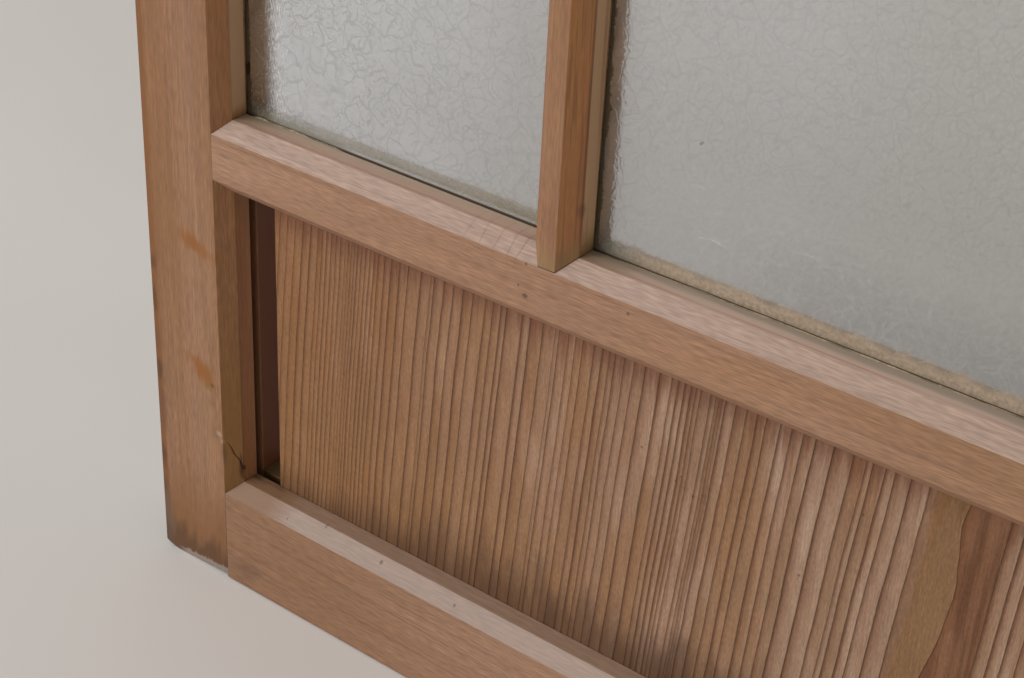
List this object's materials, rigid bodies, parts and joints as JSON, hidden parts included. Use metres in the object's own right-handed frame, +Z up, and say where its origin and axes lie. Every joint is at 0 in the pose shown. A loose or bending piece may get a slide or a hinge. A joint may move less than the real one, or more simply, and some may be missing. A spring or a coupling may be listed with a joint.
{
  "type": "fixed glass window",
  "caption": "Old softwood joinery window leaf: chamfered frame and muntins with coped joints, frosted flake-pattern glass above a thin weathered kick board, fixed in its opening.",
  "frame": {"origin": "middle of the underside of the bottom rail, halfway through the thickness", "axes": "X across the leaf, Y from the front face to the back face, Z up; the front faces -Y"},
  "size_m": [0.76, 0.031, 1.1],
  "materials": {
    "frame_wood": "bare, aged and washed softwood",
    "patterned_glass": "frosted flake pattern",
    "board_wood": "weathered board with raised grain",
    "wedge_wood": "split softwood"
  },
  "bodies": {
    "root": {"left_stile": "frame_wood", "right_stile": "frame_wood", "bottom_rail": "frame_wood", "mid_rail": "frame_wood", "top_rail": "frame_wood", "left_muntin": "frame_wood", "right_muntin": "frame_wood", "glass_left": "patterned_glass", "glass_centre": "patterned_glass", "glass_right": "patterned_glass", "kick_board": "board_wood", "left_upper_wedge": "wedge_wood", "left_lower_wedge": "wedge_wood", "right_upper_wedge": "wedge_wood", "right_lower_wedge": "wedge_wood"}
  },
  "joints": []
}
